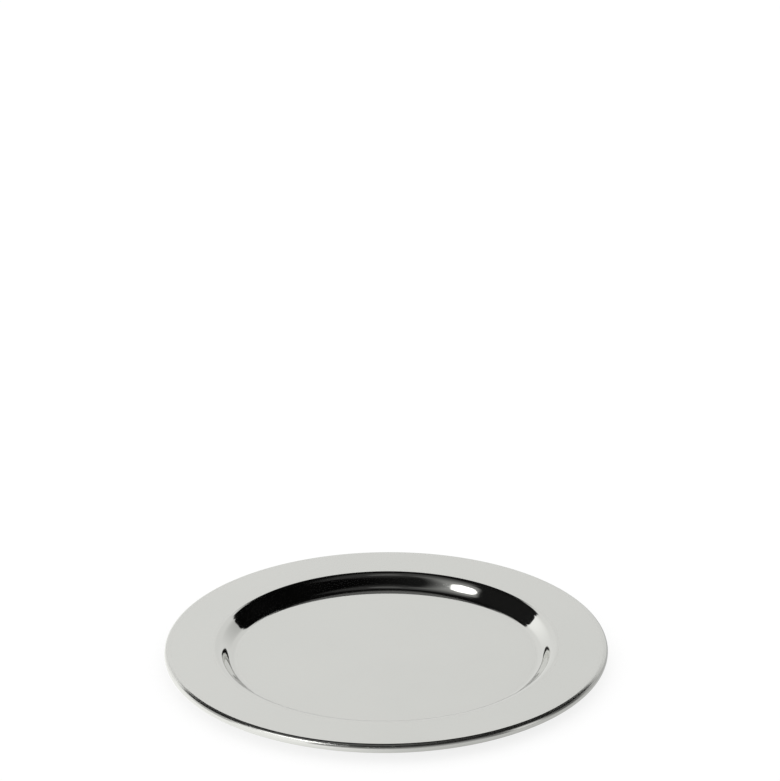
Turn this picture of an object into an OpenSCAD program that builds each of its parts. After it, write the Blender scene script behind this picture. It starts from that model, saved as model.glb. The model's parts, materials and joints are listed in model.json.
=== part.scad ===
/* [Dish] */
// Outside diameter, over the rolled edge
outer_d = 140; // [126:1:180]
// Diameter of the flat floor that the bottle stands on
floor_d = 94.5; // [76:0.5:110]
// Depth of the well, from the top of the rim to the floor
well_depth = 3.9; // [3:0.1:12]
// Slope of the well's wall, measured up from the floor
wall_angle = 47; // [35:1:57]
// Thickness of the sheet metal
sheet_t = 0.8; // [0.5:0.1:1.2]
// Radius of the hollow bend between floor and wall, on its upper side
heel_r = 4.1; // [0.6:0.1:6]
// Radius of the round bend between wall and rim, on its under side
lip_under_r = 3.2; // [0.2:0.1:5]

/* [Rolled edge] */
// Diameter of the wire inside the rolled edge
wire_d = 1; // [0.6:0.1:2.4]
// Gap between the wire and the sheet rolled round it
wire_clear = 0.2; // [0.15:0.05:0.3]
// Gap between the cut edge of the sheet and the under side of the rim
seam_gap = 0.2; // [0.1:0.05:0.4]
// Gap between the two butted ends of the wire
wire_end_gap = 0.5; // [0.2:0.1:2]

/* [Felt base] */
// Thickness of the felt disc
felt_t = 1.5; // [1:0.25:3]
// Bare margin of the floor's under side around the felt disc
felt_margin = 1.25; // [0.5:0.25:5]

/* [Hidden] */

// Round shapes are drawn with this many sides
$fn = 180;

// Straight lengths of the sheet run this far into the bends beside them
sheet_lap = 0.001;

// Heights above the table
floor_top = felt_t + sheet_t;
rim_top = floor_top + well_depth;

// The wall runs straight between two bends that are tangent to it, to the floor and to the rim
lip_r = lip_under_r + sheet_t;
bends_tangent = (heel_r + lip_r) * tan(wall_angle / 2);
wall_len = well_depth / sin(wall_angle) - bends_tangent;
floor_r = floor_d / 2;
mouth_r = floor_r + well_depth / tan(wall_angle) + bends_tangent;

// The rolled edge lies under the rim, tangent to its top, and stops short of touching it from below
bead_r = wire_d / 2 + wire_clear + sheet_t;
bead_x = outer_d / 2 - bead_r;
bead_z = rim_top - bead_r;
bead_end = -180 - asin((bead_r - sheet_t - seam_gap) / bead_r);

// The wire's ring, open where its two ends meet
wire_turn = 360 * (1 - wire_end_gap / (2 * PI * bead_x));

// Pie slice between two angles, as far out as the given radius or further
module slice(r, from, to) {
    steps = ceil((to - from) / 60);
    reach = 1.2 * r;
    corners = [for (i = [0:steps]) let (a = from + (to - from) * i / steps) reach * [cos(a), sin(a)]];
    polygon(concat([[0, 0]], corners));
}

// Sheet bent round a centre: the part of a ring that lies between two angles
module bend(inner_r, from, to) {
    intersection() {
        difference() {
            circle(r = inner_r + sheet_t);
            circle(r = inner_r);
        }
        slice(inner_r + sheet_t, from, to);
    }
}

// Straight sheet that lies above the X axis, from one bend to the next
module flat_sheet(from, to) {
    translate([from - sheet_lap, 0])
        square([to - from + 2 * sheet_lap, sheet_t]);
}

// Half section of the dish, from the middle of the floor to the cut edge of the sheet
module dish_section() {
    translate([0, felt_t])
        flat_sheet(sheet_lap, floor_r);
    translate([floor_r, floor_top + heel_r]) {
        bend(heel_r, -90, wall_angle - 90);
        rotate(wall_angle)
            translate([0, -heel_r - sheet_t])
                flat_sheet(0, wall_len);
    }
    translate([mouth_r, rim_top - lip_r])
        bend(lip_under_r, 90, 90 + wall_angle);
    translate([0, rim_top - sheet_t])
        flat_sheet(mouth_r, bead_x);
    translate([bead_x, bead_z])
        bend(bead_r - sheet_t, bead_end, 90);
}

module dish() {
    color([0.81, 0.815, 0.795])
        rotate_extrude()
            dish_section();
}

module rim_wire() {
    color([0.55, 0.56, 0.56])
        rotate_extrude(angle = wire_turn)
            translate([bead_x, bead_z])
                circle(d = wire_d);
}

module base_felt() {
    color([0.10, 0.10, 0.11])
        cylinder(r = floor_r - felt_margin, h = felt_t);
}

dish();
rim_wire();
base_felt();
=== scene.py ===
"""Bottle coaster: the visual model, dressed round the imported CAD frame."""
import json
import math

import bpy
from mathutils import Matrix, Vector, noise


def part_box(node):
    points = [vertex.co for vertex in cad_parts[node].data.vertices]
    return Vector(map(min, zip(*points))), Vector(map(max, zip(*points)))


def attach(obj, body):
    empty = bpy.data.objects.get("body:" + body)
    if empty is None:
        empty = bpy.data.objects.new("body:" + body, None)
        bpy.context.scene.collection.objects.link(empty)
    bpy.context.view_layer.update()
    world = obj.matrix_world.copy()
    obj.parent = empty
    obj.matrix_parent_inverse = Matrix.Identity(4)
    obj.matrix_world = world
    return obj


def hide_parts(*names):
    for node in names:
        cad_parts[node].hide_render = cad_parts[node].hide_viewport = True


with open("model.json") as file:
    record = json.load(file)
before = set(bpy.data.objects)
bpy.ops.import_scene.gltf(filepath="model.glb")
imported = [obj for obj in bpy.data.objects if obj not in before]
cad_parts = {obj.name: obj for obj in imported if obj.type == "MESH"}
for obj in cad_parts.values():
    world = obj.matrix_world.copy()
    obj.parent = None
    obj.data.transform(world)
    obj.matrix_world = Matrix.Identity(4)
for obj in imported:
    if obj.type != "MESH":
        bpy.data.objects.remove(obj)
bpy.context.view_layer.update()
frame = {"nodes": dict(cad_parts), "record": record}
scene = bpy.context.scene
scene.view_settings.view_transform = "Standard"

# Sizes, in metres
MM = 0.001

dish_low, dish_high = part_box("dish")
felt_low, felt_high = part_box("base_felt")
wire_low, wire_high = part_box("rim_wire")
seat = next(m for m in frame["record"]["mounts"] if m["name"] == "bottle_seat")

# Sheet, floor and rim
FLOOR_TOP = seat["pos_m"][2]
FLOOR_UNDER = dish_low.z
SHEET_T = FLOOR_TOP - FLOOR_UNDER
RIM_TOP = dish_high.z
OUTER_R = min(dish_high.x, dish_high.y, -dish_low.x, -dish_low.y)

# Edge rolled round the wire
BEAD_Z = (wire_low.z + wire_high.z) / 2
BEAD_R = RIM_TOP - BEAD_Z
BEAD_X = OUTER_R - BEAD_R
SEAM_GAP = 0.2 * MM             # between the cut edge and the rim's under side
EDGE_R = 0.1 * MM               # the cut edge is rounded by this much
DULL_FADE = 0.5 * MM            # the rolled edge loses its polish over this width

# Felt disc
FELT_R = min(felt_high.x, felt_high.y, -felt_low.x, -felt_low.y)
FELT_EDGE = 0.25 * MM           # its edges are rounded by this much
FELT_RAGGED = 0.10 * MM         # depth of the ragged cut at its side
FELT_LUMPS = 0.05 * MM          # depth of the lumps below
FELT_FINE = 1400                # fine lumps in a metre
FELT_COARSE = 420               # coarse lumps in a metre

# Well: two tight bends, and between them a wall whose slope swells
FELT_MARGIN = 1.25 * MM         # from the felt to the end of the solid's flat floor
FLOOR_SPREAD = 0.525 * MM       # the flat floor reaches this much further out than the solid's
FLOOR_R = FELT_R + FELT_MARGIN + FLOOR_SPREAD
FOOT = math.radians(41.56)      # slope where the tight bends end and the wall begins
STEEP = math.radians(47.2)      # slope at the middle of the wall
HEEL_R = 2.79 * MM              # tight bend between floor and wall, upper side
LIP_R = 3.4 * MM                # tight bend between wall and rim, upper side
DEPTH = RIM_TOP - FLOOR_TOP
WALL_RISE = DEPTH - (HEEL_R + LIP_R) * (1 - math.cos(FOOT))

# Steps of the meshes
SEGMENTS = 480                  # round the axis
FLOOR_STEPS = 4
RIM_STEPS = 2
BEND_STEPS = 20
WALL_STEPS = 20
WALL_PARTS = 8                  # parts that each step of the wall is summed from
CURL_STEPS = 60
CURL_INNER_STEPS = 30
CUT_STEPS = 12
FELT_TOP_STEPS = 8
FELT_BEND_STEPS = 4
FELT_SIDE_HEIGHTS = [0.2 + 0.1 * i for i in range(7)]   # rings on its side, as shares from the top
FELT_UNDER_STEPS = 72

ON_AXIS = 1e-9                  # nearer points lie on the axis
SAME_POINT = 1e-7               # nearer points are one


# Turned shapes: a profile is a list of (radius, height, normal outwards, normal upwards).
def arc(centre, r, a0, a1, steps, side):
    """Arc whose face looks away from the centre where side is 1, and in where it is -1."""
    out = []
    for i in range(steps + 1):
        a = a0 + (a1 - a0) * i / steps
        c, s = math.cos(a), math.sin(a)
        out.append((centre[0] + r * c, centre[1] + r * s, side * c, side * s))
    return out


def flat(r0, r1, z, up, steps):
    """Level line that looks up where up is 1, and down where it is -1."""
    return [(r0 + (r1 - r0) * i / steps, z, 0.0, up) for i in range(steps + 1)]


def cut_edge(angle, steps):
    """Where the curl stops short of the angle, and the sheet's rounded end from there to it."""
    start = angle + EDGE_R / BEAD_R
    along = (math.sin(start), -math.cos(start))
    across = (math.cos(start), math.sin(start))
    middle = BEAD_R - SHEET_T / 2
    out = []
    for i in range(1, steps):
        a = math.pi * i / steps
        u, v = SHEET_T / 2 * math.cos(a), EDGE_R * math.sin(a)
        n = Vector((math.cos(a) / (SHEET_T / 2), math.sin(a) / EDGE_R)).normalized()
        out.append((BEAD_X + (middle + u) * across[0] + v * along[0],
                    BEAD_Z + (middle + u) * across[1] + v * along[1],
                    n.x * across[0] + n.y * along[0], n.x * across[1] + n.y * along[1]))
    return start, out


def wall(start, steps, parts):
    """Upper side of the wall: its slope swells from FOOT to STEEP in the middle, and back."""
    def slope(u):
        return FOOT + (STEEP - FOOT) * (1 - (2 * u - 1) ** 2)

    count = steps * parts
    slopes = [slope((i + 0.5) / count) for i in range(count)]
    stretch = WALL_RISE / sum(math.sin(a) for a in slopes)
    r, z = start
    out = [(r, z, -math.sin(FOOT), math.cos(FOOT))]
    for i, a in enumerate(slopes, 1):
        r, z = r + stretch * math.cos(a), z + stretch * math.sin(a)
        if i % parts == 0:
            out.append((r, z, -math.sin(slope(i / count)), math.cos(slope(i / count))))
    return out


def under(points):
    """The sheet's other side, run the other way."""
    return [(r - SHEET_T * nr, z - SHEET_T * nz, -nr, -nz) for r, z, nr, nz in reversed(points)]


def well_profile():
    """Upper side of the well, from the end of the flat floor to the start of the flat rim."""
    up, down = math.pi / 2, -math.pi / 2
    points = arc((FLOOR_R, FLOOR_TOP + HEEL_R), HEEL_R, down, down + FOOT, BEND_STEPS, -1)
    points += wall(points[-1][:2], WALL_STEPS, WALL_PARTS)
    mouth = points[-1][0] + LIP_R * math.sin(FOOT)
    return points + arc((mouth, RIM_TOP - LIP_R), LIP_R, up + FOOT, up, BEND_STEPS, 1)


WELL = well_profile()
MOUTH_R = WELL[-1][0]


def dish_profile():
    """Upper side from the axis to the curl, round the cut edge, and the under side back."""
    up = math.pi / 2
    bead = (BEAD_X, BEAD_Z)
    end = -math.pi - math.asin((BEAD_R - SHEET_T - SEAM_GAP) / BEAD_R)
    curl_end, edge = cut_edge(end, CUT_STEPS)
    points = flat(0, FLOOR_R, FLOOR_TOP, 1, FLOOR_STEPS)
    points += WELL
    points += flat(MOUTH_R, BEAD_X, RIM_TOP, 1, RIM_STEPS)
    points += arc(bead, BEAD_R, up, curl_end, CURL_STEPS, 1)
    points += edge
    points += arc(bead, BEAD_R - SHEET_T, curl_end, up, CURL_INNER_STEPS, -1)
    points += flat(BEAD_X, MOUTH_R, RIM_TOP - SHEET_T, -1, RIM_STEPS)
    points += under(WELL[::2])
    points += flat(FLOOR_R, 0, FLOOR_UNDER, -1, FLOOR_STEPS)
    kept = []
    for p in points:
        if not kept or math.dist(kept[-1][:2], p[:2]) > SAME_POINT:
            kept.append(p)
    return kept


def felt_profile():
    """Disc with rounded edges, from the middle of its top to the middle of its under side."""
    top, low, r = felt_high.z, felt_low.z, FELT_R - FELT_EDGE
    points = flat(0, r, top, 1, FELT_TOP_STEPS)
    points += arc((r, top - FELT_EDGE), FELT_EDGE, math.pi / 2, 0, FELT_BEND_STEPS, 1)
    points += [(FELT_R, top + (low - top) * share, 1.0, 0.0) for share in FELT_SIDE_HEIGHTS]
    points += arc((r, low + FELT_EDGE), FELT_EDGE, 0, -math.pi / 2, FELT_BEND_STEPS, 1)
    points += flat(r, 0, low, -1, FELT_UNDER_STEPS)[1:]
    return points


def matted(p, n):
    """Felt's uneven surface: lumps below and a ragged cut at the side, inside the plain disc."""
    lump = noise.noise(p * FELT_FINE) * 0.5 + noise.noise(p * FELT_COARSE) * 0.5
    side, low = math.hypot(n.x, n.y), max(-n.z, 0.0)
    depth = FELT_RAGGED * side + FELT_LUMPS * low
    return p - n * depth * (0.5 + 0.5 * lump) if depth else p


def link(name, verts, faces, normals=None):
    """Smooth mesh in the scene, with its own normals where they are given."""
    mesh = bpy.data.meshes.new(name)
    mesh.from_pydata(verts, [], faces)
    mesh.validate()
    mesh.shade_smooth()
    if normals:
        mesh.normals_split_custom_set_from_vertices(normals)
    piece = bpy.data.objects.new(name, mesh)
    scene.collection.objects.link(piece)
    return piece


def lathe(name, profile, move=None):
    """Profile turned round Z, where move may shift each point, given the point and its normal."""
    verts, normals, rings = [], [], []
    for r, z, nr, nz in profile:
        if r < ON_AXIS:
            rings.append([len(verts)] * SEGMENTS)
            verts.append((0.0, 0.0, z))
            normals.append((0.0, 0.0, nz))
            continue
        rings.append(list(range(len(verts), len(verts) + SEGMENTS)))
        for i in range(SEGMENTS):
            a = 2 * math.pi * i / SEGMENTS
            c, s = math.cos(a), math.sin(a)
            p = Vector((r * c, r * s, z))
            verts.append(move(p, Vector((nr * c, nr * s, nz))) if move else p)
            normals.append((nr * c, nr * s, nz))
    faces = []
    for low, high in zip(rings, rings[1:]):
        for i in range(SEGMENTS):
            j = (i + 1) % SEGMENTS
            corners = [low[i], high[i], high[j], low[j]]
            faces.append(tuple(dict.fromkeys(corners)))
    return link(name, verts, faces, None if move else normals)


# Node helpers
class Tree:
    """Short ways to add nodes to a node tree."""

    def __init__(self, owner):
        owner.use_nodes = True
        self.tree = owner.node_tree
        self.tree.nodes.clear()

    def node(self, kind, inputs=None, **settings):
        n = self.tree.nodes.new(kind)
        for key, value in settings.items():
            setattr(n, key, value)
        for key, value in (inputs or {}).items():
            if isinstance(value, bpy.types.NodeSocket):
                self.tree.links.new(value, n.inputs[key])
            else:
                n.inputs[key].default_value = value
        return n

    def math(self, operation, *values):
        return self.node("ShaderNodeMath", dict(enumerate(values)), operation=operation).outputs[0]

    def add(self, total, *others):
        for other in others:
            total = self.math("ADD", total, other)
        return total

    def times(self, total, *others):
        for other in others:
            total = self.math("MULTIPLY", total, other)
        return total

    def ramp(self, value, low, high, to_low=0.0, to_high=1.0, kind="SMOOTHSTEP"):
        """Goes from to_low to to_high while the value goes from low to high, and stops there."""
        return self.node("ShaderNodeMapRange", {"Value": value, "From Min": low, "From Max": high,
                                                "To Min": to_low, "To Max": to_high},
                         interpolation_type=kind).outputs["Result"]

    def noise(self, vector, scale, detail=2.0, dimensions="3D"):
        key = "W" if dimensions == "1D" else "Vector"
        return self.node("ShaderNodeTexNoise", {key: vector, "Scale": scale, "Detail": detail},
                         noise_dimensions=dimensions).outputs["Fac"]

    def mix(self, factor, a, b):
        return self.node("ShaderNodeMix", {"Factor": factor, "A": a, "B": b},
                         data_type="RGBA").outputs["Result"]

    def bump(self, height, distance, strength):
        return self.node("ShaderNodeBump", {"Strength": strength, "Distance": distance,
                                            "Height": height}).outputs[0]

    def principled(self, inputs):
        shader = self.node("ShaderNodeBsdfPrincipled", inputs)
        self.node("ShaderNodeOutputMaterial", {"Surface": shader.outputs[0]})


def object_place(t):
    return t.node("ShaderNodeTexCoord").outputs["Object"]


def object_parts(t, place):
    """X, Z and the distance from the axis, of a place in object coordinates."""
    x, y, z = t.node("ShaderNodeSeparateXYZ", {0: place}).outputs
    return x, z, t.math("SQRT", t.add(t.times(x, x), t.times(y, y)))


# Materials
STEEL_CLEAN, STEEL_SMUDGED = (0.64, 0.643, 0.614, 1), (0.63, 0.634, 0.605, 1)
STEEL_ROUGH = (0.035, 0.06)     # clean and smudged
EDGE_ROUGH = (0.08, 0.24)       # what the streaks of the rolled edge add
MARKS_ROUGH = 0.02              # what the turning marks add
HAZE = (0.13, 0.17)             # share of light that the flats scatter, clean and smudged
HAZE_FADE = 1.0 * MM            # the haze fades out over this width before each bend
RINGS, BREAKS, SMUDGES = 5200.0, 60.0, 26.0     # of each, in a metre
MARKS_DEPTH = 4e-8

WIRE_BRIGHT, WIRE_DULL = (0.55, 0.56, 0.56, 1), (0.40, 0.38, 0.35, 1)
WIRE_ROUGH = (0.28, 0.42)
LINES, FILM = 9000.0, 900.0     # of each, in a metre
LINES_DEPTH = 4e-6

# Felt in painted shade in its hollows, and in painted light on its raised fibres and clumps
FELT_SHADED, FELT_LIT = (0.02, 0.02, 0.023, 1), (0.085, 0.085, 0.092, 1)
FIBRES, WARPS, CLUMPS = 1100.0, 700.0, 420.0    # of each, in a metre
WARP_REACH = 1.2 * MM           # how far the fibres are bent aside
FIBRE_DEPTH = 1.2e-4

FLOOR_GREY = (0.24, 0.24, 0.24, 1)
FLOOR_GLOW = 0.78               # makes the grey floor white to the camera
WHITE = (1, 1, 1, 1)


def polished_metal():
    """Steel mirror with broken turning marks, hazy on its flats, streaked on its rolled edge."""
    material = bpy.data.materials.new("polished_metal")
    t = Tree(material)
    place = object_place(t)
    radius = object_parts(t, place)[2]
    rings = t.noise(radius, RINGS, 3.0, "1D")
    breaks = t.noise(place, BREAKS, 3.0)
    smudges = t.noise(place, SMUDGES, 4.0)
    marks = t.times(rings, t.ramp(breaks, 0.42, 0.68))
    streaks = t.times(t.ramp(radius, BEAD_X, BEAD_X + DULL_FADE),
                      t.ramp(rings, 0.3, 0.7, *EDGE_ROUGH))
    rough = t.add(t.ramp(smudges, 0.35, 0.75, *STEEL_ROUGH),
                  t.math("MULTIPLY_ADD", marks, MARKS_ROUGH, streaks))
    on_floor = t.ramp(radius, FLOOR_R - HAZE_FADE, FLOOR_R, 1.0, 0.0)
    on_rim = t.times(t.ramp(radius, MOUTH_R, MOUTH_R + HAZE_FADE),
                     t.ramp(radius, BEAD_X - HAZE_FADE, BEAD_X, 1.0, 0.0))
    haze = t.times(t.add(on_floor, on_rim), t.ramp(smudges, 0.3, 0.75, *HAZE))
    t.principled({"Base Color": t.mix(t.ramp(smudges, 0.3, 0.8), STEEL_CLEAN, STEEL_SMUDGED),
                  "Metallic": t.math("SUBTRACT", 1.0, haze), "Roughness": rough,
                  "Normal": t.bump(marks, MARKS_DEPTH, 1.0)})
    return material


def steel_wire():
    """Drawn steel: fine lines along the wire, and spots of dull film."""
    material = bpy.data.materials.new("steel_wire")
    t = Tree(material)
    place = object_place(t)
    _, z, radius = object_parts(t, place)
    lines = t.noise(t.add(radius, z), LINES, 3.0, "1D")
    film = t.noise(place, FILM, 4.0)
    t.principled({"Base Color": t.mix(t.ramp(film, 0.5, 0.8), WIRE_BRIGHT, WIRE_DULL),
                  "Metallic": 1.0, "Roughness": t.ramp(lines, 0.3, 0.7, *WIRE_ROUGH),
                  "Normal": t.bump(lines, LINES_DEPTH, 0.5)})
    return material


def felt():
    """Matted fibres: wavy bands, bent by noise, over clumps, with painted shade in the hollows and
    painted light on the raised fibres.
    """
    material = bpy.data.materials.new("felt")
    t = Tree(material)
    place = object_place(t)
    warp = t.node("ShaderNodeTexNoise", {"Vector": place, "Scale": WARPS,
                                         "Detail": 2.0}).outputs["Color"]
    shift = t.node("ShaderNodeVectorMath", {0: warp, "Scale": WARP_REACH},
                   operation="SCALE").outputs[0]
    bent = t.node("ShaderNodeVectorMath", {0: place, 1: shift}, operation="ADD").outputs[0]
    fibres = t.node("ShaderNodeTexWave", {"Vector": bent, "Scale": FIBRES, "Distortion": 14.0,
                                          "Detail": 3.0, "Detail Scale": 1.6},
                    wave_type="BANDS", bands_direction="DIAGONAL").outputs["Fac"]
    clumps = t.noise(place, CLUMPS, 4.0)
    height = t.add(t.times(fibres, 0.6), clumps)
    # Painted shade and light: darker where the bump is low, paler where it is high
    t.principled({"Base Color": t.mix(t.ramp(height, 0.45, 1.15), FELT_SHADED, FELT_LIT),
                  "Roughness": 0.95, "Sheen Weight": 0.35, "Sheen Roughness": 0.6,
                  "Specular IOR Level": 0.1, "Normal": t.bump(height, FIBRE_DEPTH, 0.8)})
    return material


def studio_floor():
    """Floor that keeps a soft shadow: white to the camera, and to mirrors a glow of painted lamp
    light, bright at the left and fading to grey at the right.

    It is open under the felt and from below, so that the under side is lit and can be seen.
    """
    material = bpy.data.materials.new("studio_floor")
    t = Tree(material)
    x, _, radius = object_parts(t, object_place(t))
    path = t.node("ShaderNodeLightPath").outputs
    seen = t.math("MAXIMUM", path["Is Camera Ray"], path["Is Transmission Ray"])
    # Painted light seen only in mirrors: a pool of lamp light at the left of the floor, fading to
    # grey towards the right
    painted_lamp_pool = t.add(t.ramp(x, -0.05, 0.03, 1.0, 0.5), t.ramp(x, 0.05, 0.11, 0.0, -0.25))
    mirrored = t.times(path["Is Glossy Ray"], painted_lamp_pool)
    matt = t.node("ShaderNodeBsdfDiffuse", {"Color": FLOOR_GREY})
    glow = t.node("ShaderNodeEmission",
                  {"Strength": t.math("MULTIPLY_ADD", seen, FLOOR_GLOW, mirrored)})
    lit = t.node("ShaderNodeAddShader", {0: matt.outputs[0], 1: glow.outputs[0]})
    from_below = t.node("ShaderNodeNewGeometry").outputs["Backfacing"]
    is_open = t.math("MAXIMUM", from_below, t.math("LESS_THAN", radius, FELT_R))
    clear = t.node("ShaderNodeBsdfTransparent")
    both = t.node("ShaderNodeMixShader", {0: is_open, 1: lit.outputs[0], 2: clear.outputs[0]})
    t.node("ShaderNodeOutputMaterial", {"Surface": both.outputs[0]})
    return material


# Pieces
dish = lathe("dish_sheet", dish_profile())
dish.data.materials.append(polished_metal())
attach(dish, "root")
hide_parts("dish")

felt_disc = lathe("felt_disc", felt_profile(), matted)
felt_disc.data.materials.append(felt())
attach(felt_disc, "root")
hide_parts("base_felt")

wire = frame["nodes"]["rim_wire"]
wire.data.materials.clear()
wire.data.materials.append(steel_wire())

FLOOR_HALF = 10.0
floor = link("studio_floor", [(-FLOOR_HALF, -FLOOR_HALF, 0), (FLOOR_HALF, -FLOOR_HALF, 0),
                              (FLOOR_HALF, FLOOR_HALF, 0), (-FLOOR_HALF, FLOOR_HALF, 0)],
             [(0, 1, 2, 3)])
floor.data.materials.append(studio_floor())

# Surroundings: mirror rays see a studio, which is given by direction. Turns are in degrees from +Y,
# heights in degrees above level, and lights in shares of white before STUDIO_GAIN.
STUDIO_GAIN = 1.484
PLAIN_LIGHT = 1.0
LAMP_LIGHT = 1.4
SCREEN_LIGHT = 8.0
WINDOW_LIGHT = 0.85
HALO_LIGHT = 0.08
HALO_REACH = 6                  # degrees


class Sky:
    """Where a ray of the world goes."""

    def __init__(self, t):
        degrees = 180 / math.pi
        way = t.node("ShaderNodeTexCoord").outputs["Generated"]
        self.x, y, z = t.node("ShaderNodeSeparateXYZ", {0: way}).outputs
        self.right = t.times(t.math("ARCTAN2", self.x, y), degrees)
        self.left = t.times(self.right, -1.0)
        self.off = t.math("ABSOLUTE", self.right)
        self.height = t.times(t.math("ARCSINE", z), degrees)


def below(t, sky, top, soft):
    """1 below a top, 0 above it, and between them a blur that reaches soft degrees either way."""
    return t.ramp(t.math("SUBTRACT", sky.height, top), soft, -soft)


def pale_wall(t, sky):
    """Wall behind the coaster: where it is, and how light."""
    aside = t.math("ABSOLUTE", t.add(sky.right, 1.5))
    dip = t.ramp(sky.off, 1.0, 8.0, 29.3, 35.5)
    shoulders = t.ramp(aside, 26.0, 46.0, 0.0, -5.5)
    flanks = t.ramp(aside, 43.0, 54.0, 0.0, -12.0)
    top = t.add(dip, shoulders, flanks)
    where = t.times(below(t, sky, top, 0.5), t.ramp(sky.off, 95.0, 85.0))
    middle = t.ramp(sky.right, -8.0, 8.0, 0.657, 0.609)
    lit_left = t.ramp(sky.left, 25.0, 55.0, 0.0, 0.2)
    left_end = t.ramp(sky.left, 58.0, 80.0, 0.0, -0.42)
    dim_right = t.ramp(sky.right, 25.0, 55.0, 0.0, -0.2)
    right_end = t.ramp(sky.right, 58.0, 72.0, 0.0, -0.33)
    return where, t.add(middle, lit_left, left_end, dim_right, right_end)


def low_ring(t, sky):
    """Paler strip low down round the dark room, with a soft top, and dimmer at the right."""
    top = t.add(t.ramp(sky.off, 55.0, 95.0, 20.0, 40.0, "LINEAR"),
                t.ramp(sky.off, 95.0, 140.0, 0.0, 5.0))
    soft = t.math("MAXIMUM", t.ramp(sky.off, 90.0, 140.0, 14.0, 40.0),
                  t.ramp(sky.right, 30.0, 80.0, 0.0, 36.0))
    right_light = t.add(t.ramp(sky.right, 70.0, 92.0, 0.12, 0.28),
                        t.ramp(sky.right, 111.0, 118.0, 0.0, -0.13),
                        t.ramp(sky.right, 122.0, 136.0, 0.0, 0.17))
    left_light = t.add(t.ramp(sky.left, 30.0, 52.0, 0.0, 0.42),
                       t.ramp(sky.left, 130.0, 178.0, 0.0, -0.1))
    depth = t.math("DIVIDE", t.math("SUBTRACT", top, sky.height), soft)
    return t.times(t.math("MAXIMUM", right_light, left_light), t.ramp(sky.off, 50.0, 62.0),
                   t.ramp(depth, 0.0, 1.0))


def side_panel(t, sky):
    """Pale panel at the right."""
    return t.times(t.ramp(sky.right, 94.0, 102.0), t.ramp(sky.right, 119.0, 112.0),
                   t.ramp(sky.height, 40.0, 24.0, 0.0, 0.4))


def ceiling(t, sky):
    """Faint ceiling over the left side, with the lamp's halo."""
    aside = t.math("MAXIMUM", t.math("MAXIMUM", t.add(sky.left, -121.0),
                                     t.math("SUBTRACT", 96.0, sky.left)), 0.0)
    above = t.math("MAXIMUM", t.add(sky.height, -56.0), 0.0)
    away = t.math("SQRT", t.add(t.times(aside, aside), t.times(above, above)))
    halo = t.times(t.math("EXPONENT", t.times(away, -1 / HALO_REACH)), HALO_LIGHT)
    low = t.ramp(sky.left, 72.0, 104.0, 61.0, 43.0)
    light = t.times(t.ramp(sky.left, 20.0, 100.0, 0.035, 0.15), t.ramp(sky.left, 143.0, 115.0),
                    t.ramp(sky.left, -40.0, 20.0),
                    t.ramp(sky.height, 60.0, 84.0, 1.0, 0.05, "LINEAR"))
    return t.times(t.ramp(t.math("SUBTRACT", sky.height, low), -3.0, 3.0), t.add(light, halo))


def zenith(t, sky):
    """Lighter spot straight above."""
    return t.add(t.ramp(sky.height, 62.0, 76.0, 0.0, 0.025),
                 t.ramp(sky.height, 83.0, 86.0, 0.0, 0.09))


def lamps(t, sky):
    """Lamp high up at the left with a brighter screen beside it, and the paler window below."""
    top = t.math("MINIMUM", t.ramp(sky.left, 98.0, 106.0, 49.5, 54.5, "LINEAR"),
                 t.ramp(sky.left, 114.0, 123.0, 55.5, 49.5, "LINEAR"))
    low = t.ramp(sky.left, 109.0, 115.0, 43.0, 47.5, "LINEAR")
    over_low = t.ramp(t.math("SUBTRACT", sky.height, low), -1.0, 1.0)
    near_side = t.ramp(sky.left, 97.3, 99.0)
    far_side = t.ramp(sky.left, 145.0, 140.0)
    lamp = t.times(below(t, sky, top, 1.0), over_low, near_side, LAMP_LIGHT)
    screen = t.times(below(t, sky, 51.0, 1.5), over_low, t.ramp(sky.left, 118.0, 122.0),
                     SCREEN_LIGHT)
    window = t.times(below(t, sky, low, 1.0), near_side, far_side, WINDOW_LIGHT)
    return t.times(t.math("MAXIMUM", lamp, screen), far_side), window


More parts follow.
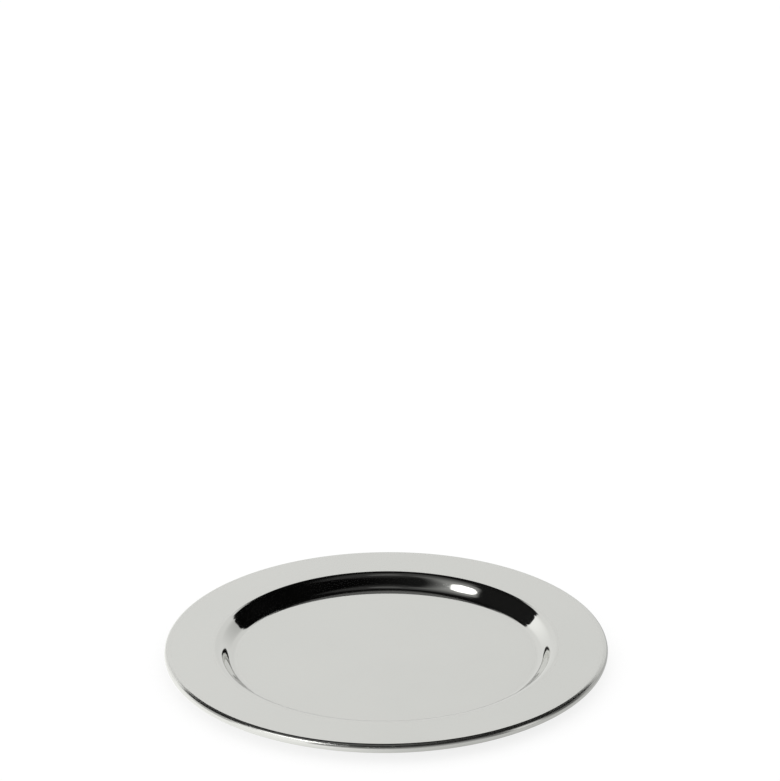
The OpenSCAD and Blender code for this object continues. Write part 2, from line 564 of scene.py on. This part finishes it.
def studio_world():
    """Even white light, and for mirror rays the studio."""
    world = bpy.data.worlds.new("studio")
    scene.world = world
    t = Tree(world)
    sky = Sky(t)
    room = t.ramp(sky.x, 0.4, -0.6, 0.001, 0.008)
    dark = t.add(room, low_ring(t, sky), ceiling(t, sky), side_panel(t, sky), zenith(t, sky))
    where, wall_light = pale_wall(t, sky)
    behind = t.node("ShaderNodeMix", {0: where, 2: dark, 3: wall_light},
                    data_type="FLOAT").outputs[0]
    lit, window = lamps(t, sky)
    studio = t.times(t.add(t.math("MAXIMUM", behind, window), lit), STUDIO_GAIN)
    mirrored = t.node("ShaderNodeBackground", {"Color": WHITE, "Strength": studio})
    plain = t.node("ShaderNodeBackground", {"Color": WHITE, "Strength": PLAIN_LIGHT})
    glossy = t.node("ShaderNodeLightPath").outputs["Is Glossy Ray"]
    both = t.node("ShaderNodeMixShader", {0: glossy, 1: plain.outputs[0], 2: mirrored.outputs[0]})
    t.node("ShaderNodeOutputWorld", {"Surface": both.outputs[0]})


studio_world()

# Camera, fitted to the photograph's outline and to the well: far off and a little rolled
IMAGE_W = 780
SENSOR_W = 36
CAMERA_FAR = 1.5                        # from the middle of the rim's top
CAMERA_HIGH = math.radians(26.0313)     # above the rim, seen from there
CAMERA_PITCH = math.radians(22.9745)
CAMERA_ROLL = math.radians(0.3629)
CAMERA_SIDE = 1.79 * MM
FOCAL_PX = 4748
CLIP_END = 50
camera = bpy.data.objects.new("camera", bpy.data.cameras.new("camera"))
camera.data.sensor_fit = "HORIZONTAL"
camera.data.sensor_width = SENSOR_W
camera.data.lens = FOCAL_PX / IMAGE_W * SENSOR_W
camera.data.clip_end = CLIP_END
camera.location = (CAMERA_SIDE, -CAMERA_FAR * math.cos(CAMERA_HIGH),
                   RIM_TOP + CAMERA_FAR * math.sin(CAMERA_HIGH))
camera.rotation_euler = (Matrix.Rotation(math.pi / 2 - CAMERA_PITCH, 3, "X")
                         @ Matrix.Rotation(-CAMERA_ROLL, 3, "Z")).to_euler()
scene.collection.objects.link(camera)
scene.camera = camera
